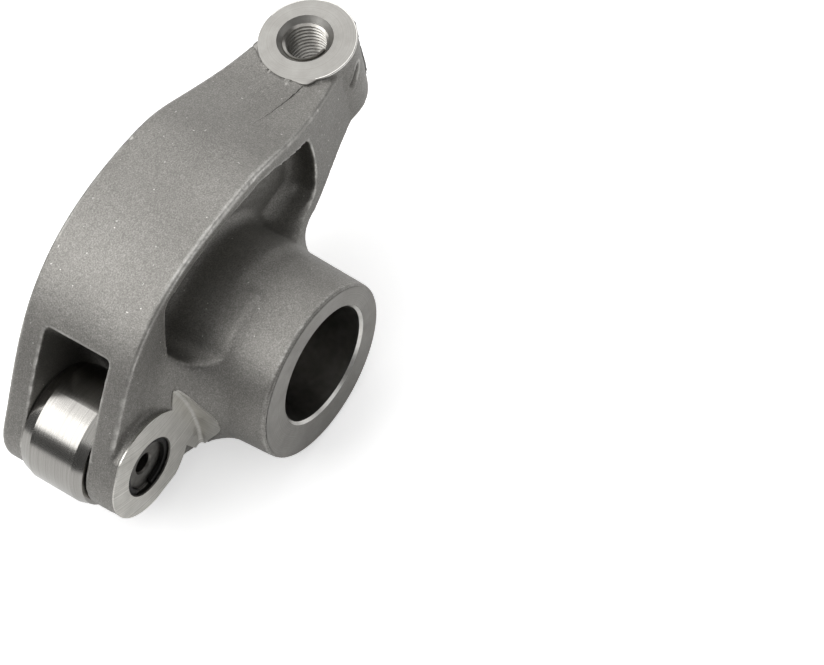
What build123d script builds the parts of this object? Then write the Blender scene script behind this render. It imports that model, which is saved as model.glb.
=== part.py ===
from build123d import *
from math import cos, radians, sin
import os

# Rocker arm, millimetres. The origin is on the shaft bore's axis, in the plane of the adjuster.
# +Y runs along the bore to the long hub, +Z up through the adjuster boss, +X to the roller.

# Shaft bore and hub
bore_r = 12.7
bore_chamfer = 0.55
hub_face_y = 35.85
hub_back_y = -13.4
hub_r = 19.3
hub_root_r = 20.2
hub_step = 0.04
hub_off_x = 1.1
hub_off_z = -1.1
hub_edge_r = 0.7
hub_back_r = 3.0
flare_r = 12.0
web_flare_r = 6.0
web_flare_inset = 0.9

# Clevis and roller
roller_x = 35.65
roller_z = -1.75
clevis_y = 3.35
clevis_w = 26.6
nose_r = 11.4
slot_w = 15.6
slot_foot_x = 21.2
slot_bend_z = 3.0
slot_top_x = 30.2
slot_top_z = 25.4
slot_bend_r = 10.0
slot_corner_r = 1.0
pad_y = 18.25
pad_boss_r = 12.4
pad_boss_inset = 0.08
cutter_r = 53.5
cutter_x = 74.7
cutter_z = -4.7
pad_corner_r = 0.8
back_pad_y = -9.75
back_pad_r = 9.2

# Adjuster boss
adjuster_x = -50.6
boss_y = 0.6
boss_r = 10.2
boss_top_z = 24.75
boss_bottom_z = 6.35
thread_r = 4.7625
thread_mouth_r = 5.9
thread_relief_r = 6.1
thread_relief_depth = 2.2

# Back and underside
back_w = 27.4
neck_w = 21.4
neck_y = 1.0
neck_x = -42.0
neck_z = 24.2
neck_inset = 0.8
rise_inset = 1.2
neck_foot_z = 5.2
boss_step = 1.8
rise_x = -22.0
rise_z = 32.4
crown_z = 37.0
shoulder_x = 27.0
shoulder_z = 28.4
underside_x = -31.0
underside_z = 3.1
hub_web_r = 8.0
heel_r = 6.0
edge_r = 0.8
neck_slope = 0.1
nose_turn = 34.0
underside_drop = 2.0

# Side pockets
flange_t = 2.9
flange_neck_t = 5.2
under_flange_t = 4.4
web_t = 10.0
pocket_end_x = -31.4
pocket_end = [(-31.4, 22.0), (-31.4, 13.5), (-29.3, 8.2)]
pocket_foot = (-25.0, 4.5)
pocket_heel = [(16.6, 34.4), (21.0, 19.0), (14.7, 6.1)]
pocket_ring = 0.2
pocket_corner_r = 3.0
pocket_floor_r = 3.0

# Roller, needles, pin and retaining rings
roller_r = 12.7
roller_gap = 0.2
roller_bevel_y = 2.4
roller_bevel_r = 0.7
pin_r = 6.35
pin_fit = 0.02
pin_hole_r = 2.1
pin_chamfer = 0.4
pin_mouth = 0.22
pin_end_gap = 0.05
needle_r = 1.25
needle_fit = 0.02
needle_end_gap = 0.25
race_bevel = 0.5
needles = 18
ring_t = 0.9
ring_w = 1.45
ring_seat = 0.45
ring_inset = 0.6
ring_fit = 0.05
ring_opening = 42.0
ring_turn = -62.0

# Values that follow
slot_y0 = clevis_y - slot_w / 2
slot_y1 = clevis_y + slot_w / 2
far = 2 * (crown_z + roller_x)
hole_r = pin_r + pin_fit
ring_outer_r = hole_r + ring_seat - ring_fit
ring_a_y = pad_y - ring_inset
ring_b_y = back_pad_y + ring_inset
pin_y0 = ring_b_y + ring_t + pin_end_gap
pin_y1 = ring_a_y - ring_t - pin_end_gap
roller_y0 = slot_y0 + roller_gap
roller_y1 = slot_y1 - roller_gap
needle_circle_r = pin_r + needle_fit + needle_r
raceway_r = needle_circle_r + needle_r + needle_fit
pin_axis = Axis((roller_x, 0, roller_z), (0, 1, 0))
side_y = clevis_y + clevis_w / 2
hub_axis = Axis((hub_off_x, 0, hub_off_z), (0, 1, 0))


# Plan view of the arm, from inside the adjuster boss to past the clevis
with BuildSketch(Plane.XY.offset(-far)) as plan:
    with BuildLine():
        right = Spline(
            (adjuster_x, boss_y + boss_r - neck_inset),
            (neck_x, neck_y + neck_w / 2),
            (rise_x, clevis_y + back_w / 2 - rise_inset),
            (0, clevis_y + back_w / 2),
            (roller_x + nose_r, clevis_y + clevis_w / 2),
        )
        left = Spline(
            (adjuster_x, boss_y - boss_r + neck_inset),
            (neck_x, neck_y - neck_w / 2),
            (rise_x, clevis_y - back_w / 2),
            (0, clevis_y - back_w / 2),
            (roller_x + nose_r, clevis_y - clevis_w / 2),
        )
        Line(right @ 0, left @ 0)
        Line(right @ 1, left @ 1)
    make_face()

# Side view of the arm: back, round nose and underside, set in by margins at crown, neck and foot
def arm_outline(plane, crown, neck, foot):
    turn = radians(nose_turn)
    nose = nose_r - crown
    fall_end = (roller_x + nose * cos(turn), roller_z + nose * sin(turn))
    belly = roller_z - nose
    with BuildSketch(plane) as outline:
        with BuildLine():
            Spline(
                (adjuster_x, boss_top_z - boss_step - neck),
                (neck_x, neck_z - neck),
                (rise_x, rise_z - (crown + neck) / 2),
                (0, crown_z - crown),
                tangents=[(1, neck_slope), (1, 0)],
            )
            fall = Spline(
                (0, crown_z - crown),
                (shoulder_x, shoulder_z - crown),
                fall_end,
                tangents=[(1, 0), (sin(turn), -cos(turn))],
            )
            TangentArc(fall_end, (roller_x, belly), tangent=fall % 1)
            Polyline(
                (roller_x, belly),
                (hub_off_x, belly),
                (hub_off_x - hub_r / 2, underside_z - underside_drop + foot),
                (underside_x, underside_z + foot),
                (neck_x, neck_foot_z + foot),
                (adjuster_x, boss_bottom_z + foot),
                (adjuster_x, boss_top_z - boss_step - neck),
            )
        make_face()
    return outline.sketch


far_side = Plane.XZ.offset(-far)
half_turn = 180
with BuildSketch(far_side) as profile:
    add(arm_outline(far_side, 0, 0, 0))
    with Locations((hub_off_x, hub_off_z)):
        Circle(hub_root_r)
    corners = profile.vertices().filter_by(lambda v: abs(v.Y) < nose_r + bore_r).filter_by(
        lambda v: abs((Vector(v) - Vector(hub_off_x, hub_off_z)).length - hub_root_r) < edge_r / 10
    )
    fillet(corners.sort_by(Axis.X)[0], radius=hub_web_r)
    fillet(corners.sort_by(Axis.X)[-1], radius=heel_r)

# Outline of one side pocket: the arm set in by its flanges, between boss, hub and clevis
with BuildSketch(Plane.XZ) as pocket:
    with BuildLine():
        Polyline(
            (pocket_end_x, crown_z),
            (pocket_heel[0][0], crown_z),
            *pocket_heel,
            (hub_off_x, hub_off_z),
            (pocket_foot[0], hub_off_z),
            pocket_foot,
        )
        Spline((pocket_end_x, crown_z), *pocket_end, pocket_foot)
    make_face()
    add(arm_outline(Plane.XZ, flange_t, flange_neck_t, under_flange_t), mode=Mode.INTERSECT)
    with Locations((hub_off_x, hub_off_z)):
        Circle(hub_root_r + pocket_ring, mode=Mode.SUBTRACT)
    fillet(pocket.vertices(), radius=pocket_corner_r)

# Outline of the roller's slot, open at the top, at the foot and past the nose
with BuildSketch(Plane.XZ) as slot:
    with BuildLine():
        lean = far * (slot_top_x - slot_foot_x) / (slot_top_z - slot_bend_z)
        Polyline(
            (far, -far),
            (slot_foot_x, -far),
            (slot_foot_x, slot_bend_z),
            (slot_top_x, slot_top_z),
            (slot_top_x + lean, slot_top_z + far),
            (far, slot_top_z + far),
            close=True,
        )
    make_face()

# Arm from plan and side view, with rounded edges on both sides and the boss stood on its end
with BuildPart() as arm:
    extrude(plan.sketch, amount=2 * far)
    extrude(profile.sketch, amount=2 * far, mode=Mode.INTERSECT)
    sides = arm.faces().filter_by(GeomType.EXTRUSION).sort_by(Axis.Y)
    sides = [sides[0], sides[-1]]
    for f in sides:
        fillet(f.edges().filter_by(GeomType.BSPLINE), radius=edge_r)
    with BuildSketch(Plane.XY.offset(boss_bottom_z)):
        with Locations((adjuster_x, boss_y)):
            Circle(boss_r)
    extrude(amount=boss_top_z - boss_bottom_z)

# Hub, turned about its own axis and tapering from the arm to its machined face
root = hub_off_z + hub_root_r - hub_step
neck = hub_off_z + hub_r
with BuildPart() as hub:
    with BuildSketch(Plane.YZ.offset(hub_off_x)):
        with BuildLine():
            Line((hub_back_y + hub_back_r, root), (side_y, root))
            Line((side_y, root), (hub_face_y - hub_edge_r, neck))
            TangentArc((hub_face_y - hub_edge_r, neck), (hub_face_y, neck - hub_edge_r), tangent=(1, 0))
            Polyline(
                (hub_face_y, neck - hub_edge_r),
                (hub_face_y, hub_off_z),
                (hub_back_y, hub_off_z),
                (hub_back_y, root - hub_back_r),
            )
            TangentArc((hub_back_y, root - hub_back_r), (hub_back_y + hub_back_r, root), tangent=(0, 1))
        make_face()
    revolve(axis=hub_axis)

# Flare between the hub and the arm's side, wide towards the roller and tight towards the adjuster
with BuildPart() as flare:
    for arc, r, inset in ((half_turn, flare_r, 0), (-half_turn, web_flare_r, web_flare_inset)):
        start_y = side_y - inset
        end_y = start_y + r
        foot = root + (neck - root) * (end_y - side_y) / (hub_face_y - hub_edge_r - side_y) - hub_step
        with BuildSketch(Plane.YZ.offset(hub_off_x)):
            with BuildLine():
                Line((start_y, foot + r), (clevis_y, foot + r))
                Line((clevis_y, foot + r), (clevis_y, foot - bore_chamfer))
                Line((clevis_y, foot - bore_chamfer), (end_y, foot - bore_chamfer))
                Line((end_y, foot - bore_chamfer), (end_y, foot))
                TangentArc((end_y, foot), (start_y, foot + r), tangent=(-1, 0))
            make_face()
        revolve(axis=hub_axis, revolution_arc=arc)
    extrude(profile.sketch, amount=2 * far, mode=Mode.INTERSECT)

# Boss around the pin on the hub's side, flush with the nose
with BuildPart() as pad_boss:
    with BuildSketch(Plane.XZ.offset(-clevis_y)):
        with Locations((roller_x, roller_z)):
            Circle(pad_boss_r)
    extrude(amount=clevis_y - pad_y)
    extrude(
        arm_outline(far_side, pad_boss_inset, pad_boss_inset, pad_boss_inset),
        amount=2 * far,
        mode=Mode.INTERSECT,
    )

# What a side pocket takes away, with its floor rounded into its walls
with BuildPart() as pocket_core:
    with BuildSketch(Plane.XZ.offset(-(clevis_y + web_t / 2))):
        add(pocket.sketch)
    extrude(amount=-far)
    fillet(pocket_core.faces().sort_by(Axis.Y)[0].edges(), radius=pocket_floor_r)

# What the roller's slot takes away, with rounded inner corners
with BuildPart() as slot_core:
    with BuildSketch(Plane.XZ.offset(-slot_y1)):
        add(slot.sketch)
    extrude(amount=slot_w)
    bends = slot_core.edges().filter_by(Axis.Y).filter_by(lambda e: abs(e.center().Z - slot_bend_z) < slot_corner_r)
    fillet(bends, radius=slot_bend_r)
    walls = slot_core.faces().sort_by(Axis.Y)
    corners = walls[0].edges() + walls[-1].edges()
    fillet(corners.filter_by(lambda e: e.center().X < far / 2), radius=slot_corner_r)

with BuildPart() as rocker_body:
    add(arm.part)
    add(hub.part)
    add(flare.part)
    add(pad_boss.part)
    # Side pockets down to the web, with the hub left standing in them
    add(pocket_core.part, mode=Mode.SUBTRACT)
    mirror(pocket_core.part, about=Plane.XZ.offset(-clevis_y), mode=Mode.SUBTRACT)
    add(slot_core.part, mode=Mode.SUBTRACT)
    # Pad faced by a wide cutter, which also bites the hub's flare
    with BuildSketch(Plane.YZ.offset(cutter_x)):
        with BuildLine():
            wall = cutter_z + cutter_r
            Line((far, cutter_z), (pad_y, cutter_z))
            Line((pad_y, cutter_z), (pad_y, wall - pad_corner_r))
            TangentArc((pad_y, wall - pad_corner_r), (pad_y + pad_corner_r, wall), tangent=(0, 1))
            Line((pad_y + pad_corner_r, wall), (far, wall))
            Line((far, wall), (far, cutter_z))
        make_face()
    revolve(axis=Axis((cutter_x, 0, cutter_z), (0, 1, 0)), mode=Mode.SUBTRACT)
    with BuildSketch(Plane.XZ.offset(-back_pad_y)):
        with Locations((roller_x, roller_z)):
            Circle(back_pad_r)
    extrude(amount=far, mode=Mode.SUBTRACT)
    # Shaft bore
    with BuildSketch(Plane.XZ.offset(-hub_face_y)):
        Circle(bore_r)
    extrude(amount=hub_face_y - hub_back_y, mode=Mode.SUBTRACT)
    mouths = rocker_body.edges().filter_by(GeomType.CIRCLE).filter_by(lambda e: abs(e.radius - bore_r) < bore_chamfer / 10)
    chamfer(mouths, length=bore_chamfer)
    # Spot face, mouth, thread hole and relief of the adjuster
    with BuildSketch(Plane.XY.offset(boss_top_z)):
        with Locations((adjuster_x, boss_y)):
            Circle(boss_r)
    extrude(amount=far, mode=Mode.SUBTRACT)
    with BuildSketch(Plane.XZ):
        with BuildLine():
            mouth = thread_mouth_r - thread_r
            relief = thread_relief_r - thread_r
            relief_z = boss_bottom_z + thread_relief_depth
            Polyline(
                (adjuster_x, boss_top_z),
                (adjuster_x + thread_mouth_r, boss_top_z),
                (adjuster_x + thread_r, boss_top_z - mouth),
                (adjuster_x + thread_r, relief_z + relief),
                (adjuster_x + thread_relief_r, relief_z),
                (adjuster_x + thread_relief_r, boss_bottom_z - far),
                (adjuster_x, boss_bottom_z - far),
                close=True,
            )
        make_face()
    revolve(axis=Axis((adjuster_x, 0, 0), (0, 0, 1)), mode=Mode.SUBTRACT)
    # Pin hole with chamfered mouths and a groove for each ring
    with BuildSketch(Plane.YZ.offset(roller_x)):
        with BuildLine():
            hole = roller_z + hole_r
            groove = roller_z + hole_r + ring_seat
            lip = roller_z + hole_r + pin_mouth
            Polyline(
                (back_pad_y, roller_z),
                (back_pad_y, lip),
                (back_pad_y + pin_mouth, hole),
                (ring_b_y - ring_fit, hole),
                (ring_b_y - ring_fit, groove),
                (ring_b_y + ring_t + ring_fit, groove),
                (ring_b_y + ring_t + ring_fit, hole),
                (ring_a_y - ring_t - ring_fit, hole),
                (ring_a_y - ring_t - ring_fit, groove),
                (ring_a_y + ring_fit, groove),
                (ring_a_y + ring_fit, hole),
                (pad_y - pin_mouth, hole),
                (pad_y, lip),
                (pad_y, roller_z),
                close=True,
            )
        make_face()
    revolve(axis=pin_axis, mode=Mode.SUBTRACT)

# Roller with wide bevels
with BuildPart() as roller:
    with BuildSketch(Plane.YZ.offset(roller_x)):
        with BuildLine():
            tread = roller_z + roller_r
            race = roller_z + raceway_r
            Polyline(
                (roller_y0, race + race_bevel),
                (roller_y0, tread - roller_bevel_r),
                (roller_y0 + roller_bevel_y, tread),
                (roller_y1 - roller_bevel_y, tread),
                (roller_y1, tread - roller_bevel_r),
                (roller_y1, race + race_bevel),
                (roller_y1 - race_bevel, race),
                (roller_y0 + race_bevel, race),
                close=True,
            )
        make_face()
    revolve(axis=pin_axis)

# Hollow pin between the two rings
with BuildPart() as roller_pin:
    with BuildSketch(Plane.XZ.offset(-pin_y1)):
        with Locations((roller_x, roller_z)):
            Circle(pin_r)
            Circle(pin_hole_r, mode=Mode.SUBTRACT)
    extrude(amount=pin_y1 - pin_y0)
    chamfer(roller_pin.edges().filter_by(GeomType.CIRCLE), length=pin_chamfer)

os.makedirs("parts", exist_ok=True)
rocker_body.part.label = "rocker_body"
export_step(rocker_body.part, "parts/rocker_body.step")
roller.part.label = "roller"
export_step(roller.part, "parts/roller.step")
roller_pin.part.label = "roller_pin"
export_step(roller_pin.part, "parts/roller_pin.step")

# Snap rings, open at one side
for tag, ring_y in (("a", ring_a_y - ring_t), ("b", ring_b_y)):
    with BuildPart() as retaining_ring:
        with BuildSketch(Plane.XZ.offset(-(ring_y + ring_t))):
            with Locations((roller_x, roller_z)):
                Circle(ring_outer_r)
                Circle(ring_outer_r - ring_w, mode=Mode.SUBTRACT)
            with BuildLine():
                Polyline(
                    (roller_x, roller_z),
                    (
                        roller_x + 2 * pin_r * cos(radians(ring_turn - ring_opening / 2)),
                        roller_z + 2 * pin_r * sin(radians(ring_turn - ring_opening / 2)),
                    ),
                    (
                        roller_x + 2 * pin_r * cos(radians(ring_turn + ring_opening / 2)),
                        roller_z + 2 * pin_r * sin(radians(ring_turn + ring_opening / 2)),
                    ),
                    close=True,
                )
            make_face(mode=Mode.SUBTRACT)
        extrude(amount=ring_t)
    retaining_ring.part.label = f"retaining_ring_{tag}"
    export_step(retaining_ring.part, f"parts/retaining_ring_{tag}.step")

# Full complement of needles between pin and roller
for i in range(needles):
    turn = radians(360 / needles * i)
    with BuildPart() as needle:
        with BuildSketch(Plane.XZ.offset(-(roller_y1 - needle_end_gap))):
            with Locations((roller_x + needle_circle_r * cos(turn), roller_z + needle_circle_r * sin(turn))):
                Circle(needle_r)
        extrude(amount=roller_y1 - roller_y0 - 2 * needle_end_gap)
    needle.part.label = f"needle_{i + 1}"
    export_step(needle.part, f"parts/needle_{i + 1}.step")
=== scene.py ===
import math
import bmesh
import bpy
import numpy as np
from mathutils import Matrix, Vector, noise
from mathutils.bvhtree import BVHTree


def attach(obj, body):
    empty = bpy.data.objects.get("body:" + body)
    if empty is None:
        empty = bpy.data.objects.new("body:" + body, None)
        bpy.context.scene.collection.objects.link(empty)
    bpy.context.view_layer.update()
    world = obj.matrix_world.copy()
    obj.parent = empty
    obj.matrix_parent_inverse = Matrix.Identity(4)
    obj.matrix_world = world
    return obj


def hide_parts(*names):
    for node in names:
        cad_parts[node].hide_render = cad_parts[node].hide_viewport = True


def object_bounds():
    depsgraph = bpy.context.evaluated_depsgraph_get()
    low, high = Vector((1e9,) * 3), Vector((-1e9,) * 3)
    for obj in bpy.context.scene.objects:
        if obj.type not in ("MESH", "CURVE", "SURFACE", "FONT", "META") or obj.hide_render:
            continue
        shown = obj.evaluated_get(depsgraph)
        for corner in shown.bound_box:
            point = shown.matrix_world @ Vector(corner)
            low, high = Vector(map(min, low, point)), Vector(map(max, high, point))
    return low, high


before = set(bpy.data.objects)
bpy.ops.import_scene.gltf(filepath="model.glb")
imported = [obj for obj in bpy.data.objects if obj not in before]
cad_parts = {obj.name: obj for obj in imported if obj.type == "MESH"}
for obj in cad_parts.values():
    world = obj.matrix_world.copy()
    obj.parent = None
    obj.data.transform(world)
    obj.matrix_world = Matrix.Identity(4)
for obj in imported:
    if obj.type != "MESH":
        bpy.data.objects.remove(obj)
cad_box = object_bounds()

# Sizes in millimetres, in the solids' frame: +Y along the shaft bore, +Z along the adjuster's hole
MM = 0.001
BORE_R, BORE_CHAMFER = 12.7, 0.55
HUB_X, HUB_Z, HUB_R, HUB_FACE_Y, HUB_BACK_Y = 1.1, -1.1, 19.3, 35.85, -13.4
PIN_X, PIN_Z, PIN_HOLE_R, RING_GROOVE_R = 35.65, -1.75, 6.37, 6.82
SLOT_LOW_Y, SLOT_HIGH_Y, BACK_PAD_Y, PAD_Y = -4.45, 11.15, -9.75, 18.25
CUTTER_X, CUTTER_Z, CUTTER_R, CUTTER_CORNER_R = 74.7, -4.7, 53.5, 0.8
SEAT_X, SEAT_Z, SEAT_FOOT_Z, BOSS_Y, BOSS_R = -50.6, 24.75, 6.35, 0.6, 10.2
THREAD_R, THREAD_PITCH, THREAD_DEPTH = 4.7625, 1.0583, 0.57
THREAD_MOUTH, THREAD_RELIEF, RELIEF_R = 1.1375, 3.5375, 6.1
PARTING_Y = 6.3

# The casting's mesh: its voxels, its triangles, and how far it is drawn in from the solid
CAST_VOXEL, CAST_TRIANGLES, CAST_UNDER = 0.42, 188000, 0.05
# How far it lies under a machined face, how near a face's rim it keeps to the solid, and how far
# under it there
UNDER_FACE, RIM_REACH, UNDER_RIM = 0.12, 0.6, 0.03
# Coves between the hub's flare and the pockets: the places across the arm where they begin on
# either side
COVE_NEAR_Y, COVE_FAR_Y = 8.6, -1.2
# The gouge on the boss: its ends, width and depth, and the lip beside it
GOUGE_ENDS, GOUGE_WIDE, GOUGE_DEEP = ((-53.0, 10.5, 19.4), (-49.9, 10.9, 16.6)), 0.6, 0.55
LIP_FAR, LIP_WIDE, LIP_HIGH = 1.2, 0.35, 0.14
# Knocks on the edges: place, size and depth of each
KNOCKS = (((-37.2, 12.6, 24.9), 0.6, 0.12), ((-39.6, 3.2, 25.0), 0.45, 0.05),
          ((-25.2, 15.3, 30.4), 0.5, 0.06), ((10.5, 16.9, 35.6), 0.7, 0.1),
          ((-8.0, -9.6, 36.6), 0.8, 0.12), ((19.0, -13.4, -6.0), 0.9, 0.12),
          ((30.0, -9.7, 9.0), 0.7, 0.08))

# Colours of the casting: dark, middle and pale grain, painted shade in its hollows, and metal where it is rubbed,
# which also paints a highlight along the crown's edge over the hub
CAST_TONES, CAST_HOLLOW_SHADE, CAST_RUBBED_AND_HIGHLIGHT = ("#6a6864", "#878581", "#a9a7a2"), "#4a4844", "#e8e6e1"


# Materials
def linear(hex_colour):
    rgb = [int(hex_colour[i:i + 2], 16) / 255 for i in (1, 3, 5)]
    return [c / 12.92 if c <= 0.04045 else ((c + 0.055) / 1.055) ** 2.4 for c in rgb] + [1.0]


def add(tree, kind, settings=None, **values):
    # Adds a node. Each value is a number or another node's output, and i0 or i1 is an input by its place
    made = tree.nodes.new(kind)
    for name, value in (settings or {}).items():
        setattr(made, name, value)
    for name, value in values.items():
        key = int(name[1:]) if name[0] == "i" and name[1:].isdigit() else name.replace("_", " ")
        if isinstance(value, bpy.types.NodeSocket):
            tree.links.new(value, made.inputs[key])
        else:
            made.inputs[key].default_value = value
    return made


def every(size):
    # Scale of a pattern whose features are about this many millimetres apart
    return 1 / (size * MM)


def start_material(name, metallic, roughness):
    made = bpy.data.materials.new(name)
    made.use_nodes = True
    tree = made.node_tree
    shader = tree.nodes["Principled BSDF"]
    shader.inputs["Metallic"].default_value = metallic
    shader.inputs["Roughness"].default_value = roughness
    place = add(tree, "ShaderNodeTexCoord").outputs["Object"]
    return made, tree, shader, place


def ramp(tree, fac, stops):
    made = add(tree, "ShaderNodeValToRGB", None, Fac=fac)
    while len(made.color_ramp.elements) < len(stops):
        made.color_ramp.elements.new(0.5)
    for element, (at, colour) in zip(made.color_ramp.elements, stops):
        element.position = at
        element.color = linear(colour)
    return made.outputs["Color"]


def shot_blasted_steel():
    # Cast steel cleaned with shot: an even satin grey with fine dimples and bright specks, paler where it is rubbed,
    # with painted shade in its hollows and a painted highlight along the crown's edge over the hub. Shot leaves
    # dimples of 0.2 to 0.5 mm, and the mould's sand a grain of 0.1 to 0.2 mm, drawn at 0.28 mm so that it shows
    dull_rough, rubbed_rough, bump_height = 0.5, 0.34, 0.06
    made, tree, shader, place = start_material("shot_blasted_cast_steel", 0.8, dull_rough)
    stain = add(tree, "ShaderNodeTexNoise", None, Vector=place, Scale=every(14), Detail=3.0, Roughness=0.5)
    mottle = add(tree, "ShaderNodeTexNoise", None, Vector=place, Scale=every(1.1), Detail=2.0, Roughness=0.5)
    grain = add(tree, "ShaderNodeTexNoise", None, Vector=place, Scale=every(0.28), Detail=2.0, Roughness=0.6)
    dimple = add(tree, "ShaderNodeTexVoronoi", {"feature": "SMOOTH_F1"},
                 Vector=place, Scale=every(0.53), Smoothness=0.5)
    # Each pattern's share of the tone, about the middle
    shares = ((stain, 0.22), (mottle, 0.16), (grain, 0.95))
    tone = 0.5 - sum(share for _, share in shares) / 2
    for pattern, share in shares:
        tone = add(tree, "ShaderNodeMath", {"operation": "MULTIPLY_ADD"},
                   i0=pattern.outputs["Fac"], i1=share, i2=tone).outputs[0]
    colour = ramp(tree, tone, list(zip((0.2, 0.5, 0.8), CAST_TONES)))
    # Painted shade: darker in the hollows, in the gouge and beside the fins' feet, by the attribute that marks them
    hollow_shade = add(tree, "ShaderNodeAttribute", {"attribute_name": "hollow_shade"}).outputs["Fac"]
    dull = add(tree, "ShaderNodeMix", {"data_type": "RGBA"}, Factor=hollow_shade, i6=colour, i7=linear(CAST_HOLLOW_SHADE))
    # Paler and less rough where rubbed, and where a highlight is painted on the crown's edge over the hub
    rub_and_highlight = add(tree, "ShaderNodeAttribute", {"attribute_name": "rub_and_highlight"}).outputs["Fac"]
    # Specks: millimetres from one to the next, size and rarity as shares of that, and how each layer is drawn out
    specks = 0.0
    for apart, size, rarity, stretch in ((1.9, 0.075, 0.62, (1.0, 1.0, 1.0)),
                                         (4.3, 0.05, 0.6, (0.5, 2.6, 1.1)),
                                         (3.8, 0.05, 0.72, (1.7, 0.6, 0.9))):
        drawn = add(tree, "ShaderNodeVectorMath", {"operation": "MULTIPLY"}, i0=place, i1=stretch)
        cells = add(tree, "ShaderNodeTexVoronoi", None, Vector=drawn.outputs[0], Scale=every(apart))
        near = add(tree, "ShaderNodeMath", {"operation": "LESS_THAN"}, i0=cells.outputs["Distance"], i1=size)
        chosen = add(tree, "ShaderNodeMath", {"operation": "GREATER_THAN"}, i0=cells.outputs["Color"], i1=rarity)
        layer = add(tree, "ShaderNodeMath", {"operation": "MULTIPLY"}, i0=near.outputs[0], i1=chosen.outputs[0])
        specks = add(tree, "ShaderNodeMath", {"operation": "MAXIMUM"}, i0=specks, i1=layer.outputs[0]).outputs[0]
    glint = add(tree, "ShaderNodeMath", {"operation": "MULTIPLY"}, i0=specks, i1=0.6)
    shine = add(tree, "ShaderNodeMath", {"operation": "MAXIMUM"}, i0=rub_and_highlight, i1=glint.outputs[0])
    rubbed = add(tree, "ShaderNodeMix", {"data_type": "RGBA"},
                 Factor=shine.outputs[0], i6=dull.outputs[2], i7=linear(CAST_RUBBED_AND_HIGHLIGHT))
    tree.links.new(rubbed.outputs[2], shader.inputs["Base Color"])
    rough = add(tree, "ShaderNodeMapRange", None, Value=shine.outputs[0], To_Min=dull_rough, To_Max=rubbed_rough)
    tree.links.new(rough.outputs[0], shader.inputs["Roughness"])
    height = add(tree, "ShaderNodeMath", {"operation": "MULTIPLY_ADD"},
                 i0=dimple.outputs["Distance"], i1=0.8, i2=grain.outputs["Fac"])
    bump = add(tree, "ShaderNodeBump", None, Strength=0.45, Distance=bump_height * MM, Height=height.outputs[0])
    tree.links.new(bump.outputs[0], shader.inputs["Normal"])
    return made


def tooled_steel(name, centre, axis, colours, roughness, feed, depth):
    # Steel faced by a turning tool: bright, with fine rings about its centre that catch the light.
    # A finishing feed is 0.05 to 0.1 mm, drawn coarser so that its rings show
    made, tree, shader, place = start_material(name, 1.0, roughness)
    moved = add(tree, "ShaderNodeVectorMath", {"operation": "SUBTRACT"}, i0=place, i1=[c * MM for c in centre])
    flat = add(tree, "ShaderNodeVectorMath", {"operation": "MULTIPLY"}, i0=moved.outputs[0], i1=[1 - a for a in axis])
    far = add(tree, "ShaderNodeVectorMath", {"operation": "LENGTH"}, i0=flat.outputs[0])
    rings = add(tree, "ShaderNodeMath", {"operation": "MULTIPLY"}, i0=far.outputs["Value"], i1=every(feed))
    lines = add(tree, "ShaderNodeTexNoise", {"noise_dimensions": "1D"},
                W=rings.outputs[0], Scale=1.0, Detail=3.0, Roughness=0.7)
    stain = add(tree, "ShaderNodeTexNoise", None, Vector=place, Scale=every(3.8), Detail=4.0, Roughness=0.6)
    both = add(tree, "ShaderNodeMix", {"data_type": "FLOAT"},
               Factor=0.45, A=lines.outputs["Fac"], B=stain.outputs["Fac"])
    colour = ramp(tree, both.outputs[0], list(zip((0.28, 0.5, 0.72), colours)))
    tree.links.new(colour, shader.inputs["Base Color"])
    bump = add(tree, "ShaderNodeBump", None, Strength=0.5, Distance=depth * MM, Height=lines.outputs["Fac"])
    tree.links.new(bump.outputs[0], shader.inputs["Normal"])
    return made


def plain_steel(name, colours, metallic, roughness, cloud_size, depth):
    # Steel without drawn lines: one tone, with faint clouds of a given size in millimetres
    made, tree, shader, place = start_material(name, metallic, roughness)
    cloud = add(tree, "ShaderNodeTexNoise", None, Vector=place, Scale=every(cloud_size), Detail=4.0, Roughness=0.65)
    colour = ramp(tree, cloud.outputs["Fac"], list(zip((0.3, 0.7), colours)))
    tree.links.new(colour, shader.inputs["Base Color"])
    bump = add(tree, "ShaderNodeBump", None, Strength=0.4, Distance=depth * MM, Height=cloud.outputs["Fac"])
    tree.links.new(bump.outputs[0], shader.inputs["Normal"])
    return made


def ground_steel(name):
    # Bearing steel ground round its axis: nearly a mirror, with hair-fine lines round the tread that
    # draw its highlight out. Grinding leaves lines of 0.01 to 0.05 mm, drawn 0.38 mm apart so that they show
    line_length, line_apart, line_depth = 40, 0.38, 0.01
    made, tree, shader, place = start_material(name, 1.0, 0.21)
    lay = add(tree, "ShaderNodeMapping", {"vector_type": "POINT"},
              Vector=place, Scale=(every(line_length), every(line_apart), every(line_length)))
    lines = add(tree, "ShaderNodeTexNoise", None, Vector=lay.outputs[0], Scale=1.0, Detail=3.0, Roughness=0.55)
    colour = ramp(tree, lines.outputs["Fac"], [(0.3, "#95938f"), (0.7, "#a6a4a0")])
    tree.links.new(colour, shader.inputs["Base Color"])
    bump = add(tree, "ShaderNodeBump", None, Strength=0.05, Distance=line_depth * MM, Height=lines.outputs["Fac"])
    tree.links.new(bump.outputs[0], shader.inputs["Normal"])
    return made


cast_steel = shot_blasted_steel()
# Hub ends faced on a lathe: satin mid grey, rings round the bore
faced_hub = tooled_steel("faced_hub_steel", centre=(0, 0, 0), axis=(0, 1, 0),
                         colours=("#7d7b77", "#908e8a", "#a3a19d"), roughness=0.42, feed=0.16, depth=0.02)
# Pads milled by one wide cutter: the palest face, with the long arcs of its passes
faced_pad = tooled_steel("milled_pad_steel", centre=(PIN_X - 9, 0, PIN_Z + 30), axis=(0, 1, 0),
                         colours=("#b0aea8", "#cfcdc7", "#e8e6e1"), roughness=0.36, feed=0.45, depth=0.03)
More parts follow.
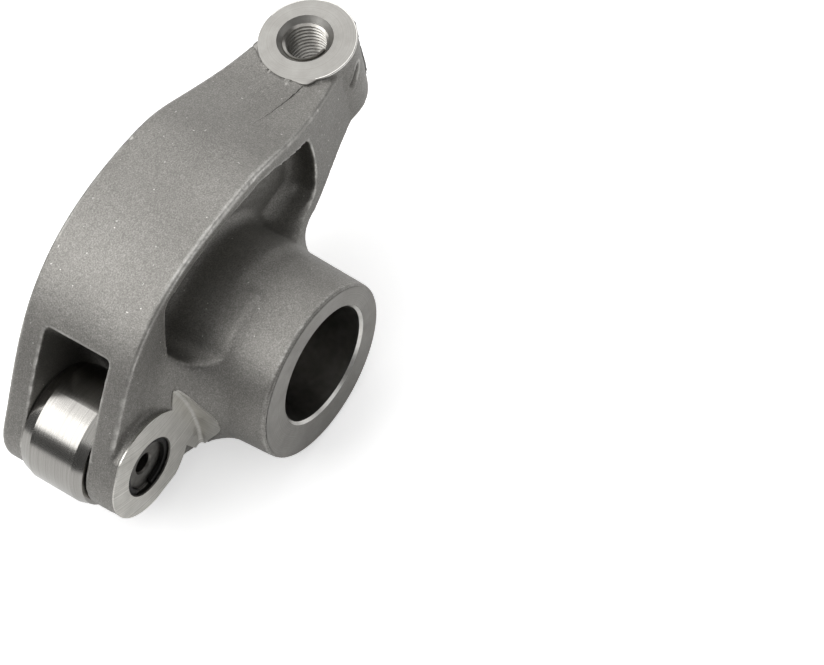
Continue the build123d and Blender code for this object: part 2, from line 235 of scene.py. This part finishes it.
# Spot face cut by a counterbore: clean and satin, rings round the thread
faced_seat = tooled_steel("faced_seat_steel", centre=(SEAT_X, 0, 0), axis=(0, 0, 1),
                          colours=("#8b8985", "#9b9995", "#abaaa6"), roughness=0.45, feed=0.14, depth=0.02)
# Edges burnished by a passing tool: a thin white glint
bright_edge = plain_steel("burnished_edge_steel", ("#d6d4cf", "#efede9"), metallic=1.0, roughness=0.3,
                          cloud_size=1.7, depth=0.005)
# Shaft bore reamed and oiled: smooth mid grey with broad clouds
bore_steel = plain_steel("oiled_bore_steel", ("#7b7975", "#95938f"), metallic=1.0, roughness=0.4,
                         cloud_size=3.3, depth=0.01)
# Drilled pin hole: darker, a painted shade inside the hole
shaded_hole_steel = plain_steel("drilled_hole_steel", ("#4b4946", "#64625e"), metallic=1.0, roughness=0.4,
                         cloud_size=2.0, depth=0.01)
# Thread cut by a tap: bright flanks over dark roots
thread_steel = plain_steel("cut_thread_steel", ("#8e8b86", "#b5b3ae"), metallic=1.0, roughness=0.3,
                           cloud_size=1.4, depth=0.01)
# Pin hardened through and left from the furnace: dark satin
pin_steel = plain_steel("through_hardened_pin_steel", ("#5d5b58", "#777571"), metallic=1.0, roughness=0.42,
                        cloud_size=1.4, depth=0.02)
# Snap rings phosphated: nearly black, dull
ring_steel = plain_steel("phosphated_spring_steel", ("#161514", "#242321"), metallic=0.55, roughness=0.5,
                         cloud_size=0.67, depth=0.01)
roller_steel = ground_steel("ground_roller_steel")
# Needles ground and lapped: small clean mirrors
needle_steel = plain_steel("ground_needle_steel", ("#9f9d99", "#bbb9b5"), metallic=1.0, roughness=0.2,
                           cloud_size=2.0, depth=0.005)


# Shapes
def arm_piece(name, mesh, material):
    piece = bpy.data.objects.new(name, mesh)
    bpy.context.scene.collection.objects.link(piece)
    mesh.materials.clear()
    mesh.materials.append(material)
    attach(piece, "arm")
    return piece


def merged_arm():
    shell = bmesh.new()
    shell.from_mesh(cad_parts["rocker_body"].data)
    bmesh.ops.remove_doubles(shell, verts=shell.verts, dist=1e-6)
    return shell


def smooth_mesh(shell, name):
    for face in shell.faces:
        face.smooth = True
    mesh = bpy.data.meshes.new(name)
    shell.to_mesh(mesh)
    shell.free()
    return mesh


def evaluated(obj):
    made = bpy.data.meshes.new_from_object(obj.evaluated_get(bpy.context.evaluated_depsgraph_get()))
    obj.modifiers.clear()
    return made


def fade(values, none, full):
    # 0 at one value, 1 at another, even in between
    return np.clip((values - none) / (full - none), 0, 1)


# Machined faces: taken from the solid where they are, some with a short skirt into it at their rims.
# How level a flat face's normal is, how far a skirt's foot lies under the solid, and the angle in
# degrees from which an edge is sharp
FLAT, SKIRT_UNDER, SHARP_FROM = 0.99, 0.05, 25
whole = merged_arm()
solid = BVHTree.FromBMesh(whole)
whole.free()


def machined(name, rule, material, skirt):
    shell = merged_arm()
    shell.normal_update()
    drop = [f for f in shell.faces if not rule(f.calc_center_median() / MM, f.normal)]
    bmesh.ops.delete(shell, geom=drop, context="FACES")
    if skirt:
        rims = [e for e in shell.edges if e.is_boundary]
        down = {tuple(v.co): -v.link_faces[0].normal * skirt * MM for e in rims for v in e.verts}
        grown = bmesh.ops.extrude_edge_only(shell, edges=rims)["geom"]
        for v in [g for g in grown if isinstance(g, bmesh.types.BMVert)]:
            v.co += down[tuple(v.co)]
            on, up, _, _ = solid.find_nearest(v.co)
            if (v.co - on).dot(up) > -SKIRT_UNDER * MM:
                v.co = on - up * SKIRT_UNDER * MM
    # One order of points and faces, so that every run gives the same meshes
    for parts, place in ((shell.verts, lambda v: tuple(v.co)),
                         (shell.faces, lambda f: tuple(f.calc_center_median()))):
        rank = {part: i for i, part in enumerate(sorted(parts, key=place))}
        parts.sort(key=lambda part: rank[part])
    mesh = smooth_mesh(shell, name)
    mesh.set_sharp_from_angle(angle=math.radians(SHARP_FROM))
    return arm_piece(name, mesh, material)


def off_bore(p):
    return math.hypot(p.x, p.z)


def off_pin(p):
    return math.hypot(p.x - PIN_X, p.z - PIN_Z)


def off_thread(p):
    return math.hypot(p.x - SEAT_X, p.y)


# Each rule says whether a face of the solid is one of its machined faces, by the face's middle in
# millimetres and its normal. The small numbers added to sizes are clearances for that middle
def on_hub_face(p, n):
    at_end = p.y > HUB_FACE_Y - 0.1 or p.y < HUB_BACK_Y + 0.1
    return abs(n.y) > FLAT and off_bore(p) < HUB_R + 0.2 and at_end


def on_bore_chamfer(p, n):
    return 0.3 < abs(n.y) < FLAT and off_bore(p) < BORE_R + BORE_CHAMFER + 0.1


def on_bore(p, n):
    return off_bore(p) < BORE_R + 0.02 and abs(n.y) < 0.1


def on_pad_floor(p, n):
    return abs(n.y) > FLAT and min(abs(p.y - PAD_Y), abs(p.y - BACK_PAD_Y)) < 0.05


def on_pad(p, n):
    # The pads' floors, and the cutter's wall with its fillet, whose normals point at the cutter's axis
    to_axis = Vector((CUTTER_X - p.x, 0, CUTTER_Z - p.z))
    out = to_axis.length
    aside = abs(n.x * to_axis.z - n.z * to_axis.x) / out
    in_cut = CUTTER_R - CUTTER_CORNER_R - 0.05 < out < CUTTER_R + 0.004 and p.y > PAD_Y - 0.02
    wall = in_cut and aside < 0.15 and n.x > -0.1 and p.x < 30
    return wall or (on_pad_floor(p, n) and p.x > 15)


def on_seat(p, n):
    return n.z > 0.3 and off_thread(p) < BOSS_R + 0.1 and p.z > SEAT_Z - THREAD_MOUTH - 0.1


def on_relief(p, n):
    return off_thread(p) < RELIEF_R + 0.05 and p.z < SEAT_FOOT_Z + THREAD_RELIEF


def on_thread_wall(p, n):
    return abs(off_thread(p) - THREAD_R) < 0.05 and SEAT_FOOT_Z + 2 < p.z < SEAT_Z - 1


def on_pin_hole(p, n):
    # The hole's wall in both ears, and the flat sides of its grooves
    in_ear = p.y > SLOT_HIGH_Y + 0.05 or p.y < SLOT_LOW_Y - 0.15
    in_groove = off_pin(p) > PIN_HOLE_R - 0.07 and not on_pad_floor(p, n)
    return in_ear and off_pin(p) < RING_GROOVE_R + 0.13 and (abs(n.y) < FLAT or in_groove)


machined_pieces = [machined(*row) for row in (
    ("hub_faces", on_hub_face, faced_hub, 0.0),
    ("bore_chamfers", on_bore_chamfer, bright_edge, 0.0),
    ("shaft_bore", on_bore, bore_steel, 0.0),
    ("pin_pads", on_pad, faced_pad, 0.35),
    ("adjuster_seat", on_seat, faced_seat, 0.3),
    ("adjuster_relief", on_relief, thread_steel, 0.0),
    ("thread_wall", on_thread_wall, thread_steel, 0.0),
    ("pin_hole", on_pin_hole, shaded_hole_steel, 0.0))]


# Casting: the solid's form with softened edges and the marks of mould and blasting
def remeshed_arm(voxel, rounds):
    body = bpy.data.objects.new("casting_form", smooth_mesh(merged_arm(), "casting_form"))
    bpy.context.scene.collection.objects.link(body)
    remesh = body.modifiers.new("remesh", "REMESH")
    remesh.mode = "VOXEL"
    remesh.voxel_size = voxel * MM
    smooth = body.modifiers.new("smooth", "SMOOTH")
    smooth.factor = 0.5
    smooth.iterations = rounds
    body.data = evaluated(body)
    return body


def read_points(mesh):
    # Places in millimetres, normals, and the two ends of each edge
    count = len(mesh.vertices)
    spots, normals = np.empty(count * 3), np.empty(count * 3)
    mesh.vertices.foreach_get("co", spots)
    mesh.vertex_normals.foreach_get("vector", normals)
    ends = np.empty(len(mesh.edges) * 2, np.int32)
    mesh.edges.foreach_get("vertices", ends)
    return spots.reshape(-1, 3) / MM, normals.reshape(-1, 3), ends.reshape(-1, 2)


def neighbour_mean(values, ends):
    total, number = np.zeros(len(values)), np.zeros(len(values))
    for a, b in ((0, 1), (1, 0)):
        np.add.at(total, ends[:, a], values[ends[:, b]])
        np.add.at(number, ends[:, a], 1)
    return total / np.maximum(number, 1)


def standing_out(spots, normals, ends):
    # How far each point stands out of its neighbours: plus on edges, minus in hollows
    lift, number = np.zeros(len(spots)), np.zeros(len(spots))
    gap = spots[ends[:, 1]] - spots[ends[:, 0]]
    reach = np.linalg.norm(gap, axis=1) + 1e-9
    for a, sign in ((0, 1), (1, -1)):
        np.add.at(lift, ends[:, a], -(gap * sign * normals[ends[:, a]]).sum(1) / reach)
        np.add.at(number, ends[:, a], 1)
    lift /= np.maximum(number, 1)
    for _ in range(2):
        lift = 0.5 * lift + 0.5 * neighbour_mean(lift, ends)
    return lift


def noise_at(spots, per_mm, shift=0.0):
    return np.array([noise.noise(Vector(p) * per_mm + Vector((shift, shift, shift))) for p in spots])


def off_line(spots, start, end):
    # Distance of each point from the line between two places
    start, end = np.array(start), np.array(end)
    run = end - start
    t = np.clip(((spots - start) @ run) / (run @ run), 0, 1)
    return np.linalg.norm(spots - (start + t[:, None] * run), axis=1)


def soften(body, weights, rounds):
    # Smooths only where the weights say so, in eight steps of weight
    group = body.vertex_groups.new(name="soft")
    steps = np.round(weights * 8).astype(int)
    for step in range(1, 9):
        group.add(np.flatnonzero(steps == step).tolist(), step / 8, "REPLACE")
    smooth = body.modifiers.new("coves", "SMOOTH")
    smooth.vertex_group = group.name
    smooth.factor = 0.5
    smooth.iterations = rounds
    body.data = evaluated(body)


# The coves where the hub flares into the wall run softly into the pockets on either side
body = remeshed_arm(CAST_VOXEL, rounds=4)
spots = read_points(body.data)[0]
hub_far = np.hypot(spots[:, 0] - HUB_X, spots[:, 2] - HUB_Z)
upper = fade(spots[:, 2], -6.0, 0.0)
for out in (spots[:, 1] - COVE_NEAR_Y, COVE_FAR_Y - spots[:, 1]):
    round_hub = fade(hub_far, 29.0, 25.0) * fade(hub_far, 18.0, 20.0)
    soften(body, round_hub * fade(out, 0, 0.6) * fade(out, 17.0, 9.0) * upper, rounds=65)

# Rubbed edges, and painted shade in the hollows; a painted highlight, nearly white, on the upward side of the crown's
# edge over the long hub
spots, normals, ends = read_points(body.data)
x, y, z = spots.T
lift = standing_out(spots, normals, ends)
patches = noise_at(spots, 0.45)
fine = noise_at(spots, 2.3, 7.0)
rub_and_highlight = fade(lift, 0.035, 0.12) * (0.3 + 0.6 * fade(patches + 0.5 * fine, -0.1, 0.5))
# Painted shade: the hollows are drawn darker
hollow_shade = 0.14 * fade(-lift, 0.03, 0.13)
# Painted highlight: the upward-facing side of the crown's edge over the long hub
hub_edge_highlight = fade(y, 13.0, 14.5) * fade(x, -26.0, -16.0) * fade(x, 20.0, 12.0) * fade(z, 24.0, 27.0)
rub_and_highlight = np.maximum(rub_and_highlight, hub_edge_highlight * fade(normals[:, 2], 0.1, 0.4) * fade(lift, 0.025, 0.09) * (0.8 + 0.7 * fine))

# Slight waviness of the mould, the gouge with its lip, and the knocks
swell = 0.028 * patches + 0.02 * fine - CAST_UNDER
gouge = off_line(spots, *GOUGE_ENDS)
lip = (gouge - LIP_FAR) / LIP_WIDE
swell -= GOUGE_DEEP * np.exp(-(gouge / GOUGE_WIDE) ** 2) - LIP_HIGH * np.exp(-lip ** 2)
# Painted shade inside the gouge
hollow_shade = np.maximum(hollow_shade, 0.9 * np.exp(-(gouge / 0.55) ** 2))
rub_and_highlight = np.maximum(rub_and_highlight, 0.5 * np.exp(-((gouge - LIP_FAR) / 0.3) ** 2) * (x < -51.5))
for place, size, deep in KNOCKS:
    near = np.linalg.norm(spots - np.array(place), axis=1)
    swell -= deep * np.exp(-(near / size) ** 2)
    rub_and_highlight = np.maximum(rub_and_highlight, 0.7 * np.exp(-(near / (0.6 * size)) ** 4))
spots += normals * swell[:, None]

# Under a machined face the casting stays hidden, and beside its rim it follows the solid closely
faces = bmesh.new()
for piece in machined_pieces:
    faces.from_mesh(piece.data)
nearest = BVHTree.FromBMesh(faces)
faces.free()
for i, spot in enumerate(spots):
    here = Vector(spot) * MM
    found, up, _, far = nearest.find_nearest(here, (RIM_REACH + 0.1) * MM)
    if found is None:
        continue
    rub_and_highlight[i] *= 0.15
    height = (here - found).dot(up)
    if (here - found - up * height).length < 0.04 * MM:
        if height > -UNDER_FACE * MM:
            spots[i] = (here - up * (height + UNDER_FACE * MM)) / MM
    elif far < RIM_REACH * MM:
        on, out, _, _ = solid.find_nearest(here)
        spots[i] = (on - out * UNDER_RIM * MM) / MM
body.data.vertices.foreach_set("co", (spots * MM).ravel())
# The rubs with the painted highlight, and the painted shade, go to the material as point attributes
for name, values in (("rub_and_highlight", rub_and_highlight), ("hollow_shade", hollow_shade)):
    body.data.attributes.new(name, "FLOAT", "POINT").data.foreach_set("value", values.astype(np.float32))
thin = body.modifiers.new("thin", "DECIMATE")
thin.ratio = CAST_TRIANGLES / sum(len(p.vertices) - 2 for p in body.data.polygons)
casting_mesh = evaluated(body)
bpy.data.objects.remove(body)
casting_mesh.shade_smooth()
casting = arm_piece("casting", casting_mesh, cast_steel)
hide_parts("rocker_body")


# Parting line: a thin broken fin where the two halves of the mould met
def section_loops(y):
    shell = merged_arm()
    shell.normal_update()
    cut = bmesh.ops.bisect_plane(shell, geom=shell.verts[:] + shell.edges[:] + shell.faces[:],
                                 plane_co=(0, y * MM, 0), plane_no=(0, 1, 0))
    near = {}
    for edge in [g for g in cut["geom_cut"] if isinstance(g, bmesh.types.BMEdge)]:
        for a, b in (edge.verts, reversed(edge.verts)):
            near.setdefault(a, []).append(b)
    # Each loop starts and turns by its points' places, so that every run draws the same one
    loops, left = [], set(near)
    while left:
        on = left
        line = []
        while on:
            here = min(on, key=lambda v: tuple(v.co))
            left.discard(here)
            line.append(here)
            on = [v for v in near[here] if v in left]
        loops.append(np.array([(v.co.x / MM, v.co.z / MM) for v in line]))
    shell.free()
    return loops


def evenly(line, step):
    closed = np.vstack([line, line[:1]])
    run = np.concatenate([[0], np.cumsum(np.linalg.norm(np.diff(closed, axis=0), axis=1))])
    at = np.arange(0, run[-1], step)
    return np.column_stack([np.interp(at, run, closed[:, k]) for k in (0, 1)])


def join_rows(mesh, last, row):
    # Faces between two rows of points, none where a strip begins
    if last is not None:
        for a in range(len(row) - 1):
            mesh.faces.new((last[a], last[a + 1], row[a + 1], row[a]))


# The fin's profile: shares of its half width and of its height, with both feet in the casting
FIN_STEP, FIN_FOOT = 0.3, -0.15
FIN_PROFILE = ((-1.0, None), (-0.45, 0.7), (-0.1, 1.0), (0.2, 0.8), (0.55, 0.2), (1.0, None))


def parting_fin(name, outline, tall, ragged, wide, glint, shade):
    # The fin stands on the outline where its height rule gives more than nothing. Ragged is how
    # much its height wanders, wide half its foot, glint how rubbed its ridge is, and the last argument how dark the
    # painted shadow at its foot is
    ahead, behind = np.roll(outline, -1, axis=0), np.roll(outline, 1, axis=0)
    run = ahead - behind
    run /= np.linalg.norm(run, axis=1)[:, None]
    turn = np.sign(((outline[:, 0] * ahead[:, 1]) - (ahead[:, 0] * outline[:, 1])).sum())
    out = np.column_stack([run[:, 1], -run[:, 0]]) * turn
    mesh = bmesh.new()
    shine = mesh.verts.layers.float.new("rub_and_highlight")
    dark = mesh.verts.layers.float.new("hollow_shade")
    last = None
    for (x, z), (nx, nz) in zip(outline, out):
        high = tall(x, z, nx, nz) * (0.75 + ragged * noise.noise(Vector((x * 0.9, 3.0, z * 0.9))))
        if high < 0.02:
            last = None
            continue
        drift = 0.25 * noise.noise(Vector((x * 0.25, 9.0, z * 0.25)))
        row = []
        for across, share in FIN_PROFILE:
            up = FIN_FOOT if share is None else share * high
            lean = up - CAST_UNDER
            vert = mesh.verts.new(((x + nx * lean) * MM, (PARTING_Y + drift + across * wide) * MM,
                                   (z + nz * lean) * MM))
            vert[shine] = max(0.0, up / high) * (glint + 0.4 * noise.noise(Vector((x, 5.0, z))))
            # Painted shadow at the fin's foot: full on its +Y side, away from the lamps, and a third on the other
            vert[dark] = shade if across > 0 else 0.3 * shade
            row.append(vert)
        join_rows(mesh, last, row)
        last = row
    bmesh.ops.recalc_face_normals(mesh, faces=mesh.faces)
    return arm_piece(name, smooth_mesh(mesh, name), cast_steel)


def crown_height(x, z, nx, nz):
    # Tallest beside the boss, and run out where the crown turns level
    return 0.42 * (1 - fade(x, -41.0, -22.0)) ** 1.5 if nz > 0.5 and -40.9 < x < -22.0 else 0.0


def nose_height(x, z, nx, nz):
    # Grows down the boss's outer side
    return 0.3 + 0.8 * fade(z, 24.0, 10.0) if nx < -0.6 and x < -55 and 7.2 < z < 24.3 else 0.0


def belly_height(x, z, nx, nz):
    # Low and broken along the underside, and gone before the lowest point that the arm stands on
    broken = fade(noise.noise(Vector((x * 0.3, 1.0, z * 0.3))), -0.25, 0.25)
    return 0.4 * broken * fade(z, -21.0, -19.0) if nz < 0.1 and x < 14 else 0.0


outline = evenly(max(section_loops(PARTING_Y), key=lambda line: np.ptp(line[:, 0])), FIN_STEP)
parting_fin("crown_parting_fin", outline, crown_height, ragged=0.7, wide=0.2, glint=0.1, shade=0.4)
parting_fin("nose_parting_fin", outline, nose_height, ragged=0.15, wide=0.3, glint=0.05, shade=0.9)
parting_fin("belly_parting_fin", outline, belly_height, ragged=0.7, wide=0.6, glint=0.5, shade=0.2)


# Rim of the spot face: a hair-fine bright edge, and a tongue where the cutter ran out over the parting fin
def seat_rim(name, start, stop, steps, profile, material):
    # A strip that follows the rim from one angle to another, kept inside the solids' box
    mesh = bmesh.new()
    last = None
    for angle in np.linspace(start, stop, steps):
        a = math.radians(angle)
        wander = noise.noise(Vector((math.cos(a) * 4.0, math.sin(a) * 4.0, 2.0)))
        row = [mesh.verts.new((max((SEAT_X + r * math.cos(a)) * MM, cad_box[0].x),
                               (BOSS_Y + r * math.sin(a)) * MM, z * MM))
               for r, z in profile((angle - start) / (stop - start), wander)]
        join_rows(mesh, last, row)
        last = row
    return arm_piece(name, smooth_mesh(mesh, name), material)


def tongue(t, wander):
    edge = BOSS_R + math.sin(math.pi * t) ** 1.4 * (0.9 + 0.5 * wander)
    return ((BOSS_R - 0.6, SEAT_Z - 0.02), (edge - 0.15, SEAT_Z + 0.01),
            (edge, SEAT_Z - 0.08), (edge - 0.05, SEAT_Z - 0.6))


def burr(t, wander):
    edge = BOSS_R + 0.08 + 0.08 * wander
    return ((BOSS_R - 0.3, SEAT_Z - 0.01), (edge - 0.14, SEAT_Z + 0.02),
            (edge, SEAT_Z - 0.1), (edge - 0.03, SEAT_Z - 0.4))


seat_rim("seat_tongue", 14, 48, 25, tongue, faced_seat)
seat_rim("seat_burr", 44, 262, 150, burr, bright_edge)

# An internal thread's ridge, as shares of the pitch: half its width at the wall, and at its flat crest
RIDGE_HALF, CREST_HALF = 0.4375, 0.125


def thread_tree():
    # Adjuster's thread: one ridge wound along the hole, from named sizes
    tree = bpy.data.node_groups.new("internal_thread", "GeometryNodeTree")
    sizes = {}
    for name, kind in (("Turns", "NodeSocketFloat"), ("Pitch", "NodeSocketFloat"),
                       ("Wall radius", "NodeSocketFloat"), ("Depth", "NodeSocketFloat"),
                       ("Steps a turn", "NodeSocketInt")):
        sizes[name] = tree.interface.new_socket(name, in_out="INPUT", socket_type=kind).identifier
    tree.interface.new_socket("Geometry", in_out="OUTPUT", socket_type="NodeSocketGeometry")
    given = add(tree, "NodeGroupInput").outputs
    length = add(tree, "ShaderNodeMath", {"operation": "MULTIPLY"}, i0=given["Turns"], i1=given["Pitch"])
    helix = add(tree, "GeometryNodeCurveSpiral", None, Resolution=given["Steps a turn"],
                Rotations=given["Turns"], Start_Radius=given["Wall radius"], End_Radius=given["Wall radius"],
                Height=length.outputs[0], Reverse=True)
    half, crest = [add(tree, "ShaderNodeMath", {"operation": "MULTIPLY"}, i0=given["Pitch"], i1=share).outputs[0]
                   for share in (RIDGE_HALF, CREST_HALF)]
    low, crest_low, inward = [add(tree, "ShaderNodeMath", {"operation": "MULTIPLY"}, i0=size, i1=-1.0).outputs[0]
                              for size in (half, crest, given["Depth"])]
    corners = [add(tree, "ShaderNodeCombineXYZ", None, X=across, Y=height).outputs[0]
               for across, height in ((0.0, half), (inward, crest), (inward, crest_low), (0.0, low))]
    ridge = add(tree, "GeometryNodeCurvePrimitiveQuadrilateral", {"mode": "POINTS"},
                Point_1=corners[0], Point_2=corners[1], Point_3=corners[2], Point_4=corners[3])
    upright = add(tree, "GeometryNodeSetCurveNormal", {"mode": "Z_UP"}, Curve=helix.outputs[0])
    swept = add(tree, "GeometryNodeCurveToMesh", None, Curve=upright.outputs[0], Profile_Curve=ridge.outputs[0])
    smooth = add(tree, "GeometryNodeSetShadeSmooth", None, Geometry=swept.outputs[0], Shade_Smooth=True)
    real = add(tree, "GeometryNodeRealizeInstances", None, Geometry=smooth.outputs[0])
    coat = add(tree, "GeometryNodeSetMaterial", None, Geometry=real.outputs[0], Material=thread_steel)
    add(tree, "NodeGroupOutput", None, Geometry=coat.outputs[0])
    return tree, sizes


tree, sizes = thread_tree()
holder = bpy.data.objects.new("thread_form", bpy.data.meshes.new("thread_form"))
bpy.context.scene.collection.objects.link(holder)
wound = holder.modifiers.new("thread", "NODES")
wound.node_group = tree
low_z, high_z = SEAT_FOOT_Z + THREAD_RELIEF - 0.1, SEAT_Z - THREAD_MOUTH + 0.2
for name, value in (("Turns", (high_z - low_z) / THREAD_PITCH), ("Pitch", THREAD_PITCH * MM),
                    ("Wall radius", (THREAD_R + 0.02) * MM), ("Depth", THREAD_DEPTH * MM),
                    ("Steps a turn", 64)):
    wound[sizes[name]] = value
thread_mesh = evaluated(holder)
bpy.data.objects.remove(holder)
thread_mesh.set_sharp_from_angle(angle=math.radians(30))
thread_mesh.transform(Matrix.Translation((SEAT_X * MM, 0, low_z * MM)))
arm_piece("adjuster_thread", thread_mesh, thread_steel)

# The other solids keep their shapes
coats = {"roller": roller_steel, "roller_pin": pin_steel,
         "retaining_ring_a": ring_steel, "retaining_ring_b": ring_steel}
coats.update((node, needle_steel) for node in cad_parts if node.startswith("needle"))
for node, material in coats.items():
    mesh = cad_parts[node].data
    mesh.materials.clear()
    mesh.materials.append(material)


# Floor, light and camera, in metres. The floor is white paper: it keeps the arm's shadow, its own
# light shows to the camera, and the metal mirrors a little of that light
FLOOR_HALF, FLOOR_FILL, MIRROR_FILL, ROOM_LIGHT = 3, 0.55, 0.12, 0.12
floor_mesh = bpy.data.meshes.new("floor")
floor_corners = [(x * FLOOR_HALF, y * FLOOR_HALF, cad_box[0].z) for x, y in ((-1, -1), (1, -1), (1, 1), (-1, 1))]
floor_mesh.from_pydata(floor_corners, [], [(0, 1, 2, 3)])
floor = bpy.data.objects.new("floor", floor_mesh)
bpy.context.scene.collection.objects.link(floor)
paper = bpy.data.materials.new("white_paper")
paper.use_nodes = True
tree = paper.node_tree
tree.nodes.clear()
matt = add(tree, "ShaderNodeBsdfDiffuse", None, Color=linear("#f4f4f4"))
path = add(tree, "ShaderNodeLightPath").outputs
clear = add(tree, "ShaderNodeMath", {"operation": "MAXIMUM"},
            i0=path["Is Glossy Ray"], i1=path["Is Transmission Ray"])
mirrored = add(tree, "ShaderNodeMath", {"operation": "MULTIPLY"}, i0=clear.outputs[0], i1=MIRROR_FILL)
seen = add(tree, "ShaderNodeMath", {"operation": "MULTIPLY"}, i0=path["Is Camera Ray"], i1=FLOOR_FILL)
fill = add(tree, "ShaderNodeMath", {"operation": "MAXIMUM"}, i0=seen.outputs[0], i1=mirrored.outputs[0])
glow = add(tree, "ShaderNodeEmission", None, Color=(1, 1, 1, 1), Strength=fill.outputs[0])
both = add(tree, "ShaderNodeAddShader", None, i0=matt.outputs[0], i1=glow.outputs[0])
add(tree, "ShaderNodeOutputMaterial", None, Surface=both.outputs[0])
floor_mesh.materials.append(paper)

# Room light from all round, and large soft lamps
world = bpy.data.worlds.new("studio")
bpy.context.scene.world = world
world.use_nodes = True
tree = world.node_tree
tree.nodes.clear()
sky = add(tree, "ShaderNodeBackground", None, Color=(1, 1, 1, 1), Strength=ROOM_LIGHT)
add(tree, "ShaderNodeOutputWorld", None, Surface=sky.outputs[0])


def lamp(name, turn, lean, size, power):
    # Stands one metre from the origin and faces it: turned up from +X, and leaning over to -Y
    turn, lean = math.radians(turn), math.radians(lean)
    data = bpy.data.lights.new(name, "AREA")
    data.shape = "RECTANGLE"
    data.size, data.size_y = size
    data.energy = power
    made = bpy.data.objects.new(name, data)
    made.location = (math.cos(lean) * math.cos(turn), -math.sin(lean), math.cos(lean) * math.sin(turn))
    made.rotation_euler = (-made.location).to_track_quat("-Z", "Y").to_euler()
    bpy.context.scene.collection.objects.link(made)


lamp("valve_side_softbox", turn=60, lean=30, size=(1.0, 0.62), power=6.6)
lamp("adjuster_side_softbox", turn=115, lean=25, size=(0.8, 0.9), power=4.2)
lamp("low_adjuster_side_fill", turn=158, lean=15, size=(0.9, 0.6), power=1.7)
lamp("overhead_fill", turn=80, lean=-10, size=(0.9, 0.9), power=2.2)
lamp("long_hub_low_fill", turn=137, lean=-56, size=(0.8, 0.5), power=0.8)

# Camera: the picture's right, down and forward in the arm's frame, and the place in metres
CAMERA_RIGHT = Vector((-0.5539956, 0.82502364, -0.11146687))
CAMERA_DOWN = Vector((0.74529638, 0.43182541, -0.50799617))
CAMERA_FORWARD = Vector((-0.37097463, -0.3645035, -0.85411652))
CAMERA_AT = (0.18864028, 0.24679621, 0.46879546)
camera_data = bpy.data.cameras.new("camera")
camera_data.sensor_width = 36.0
camera_data.lens = 120.908
camera = bpy.data.objects.new("camera", camera_data)
bpy.context.scene.collection.objects.link(camera)
pose = Matrix((CAMERA_RIGHT, -CAMERA_DOWN, -CAMERA_FORWARD)).transposed().to_4x4()
pose.translation = CAMERA_AT
camera.matrix_world = pose
bpy.context.scene.camera = camera
bpy.context.scene.view_settings.view_transform = "Standard"
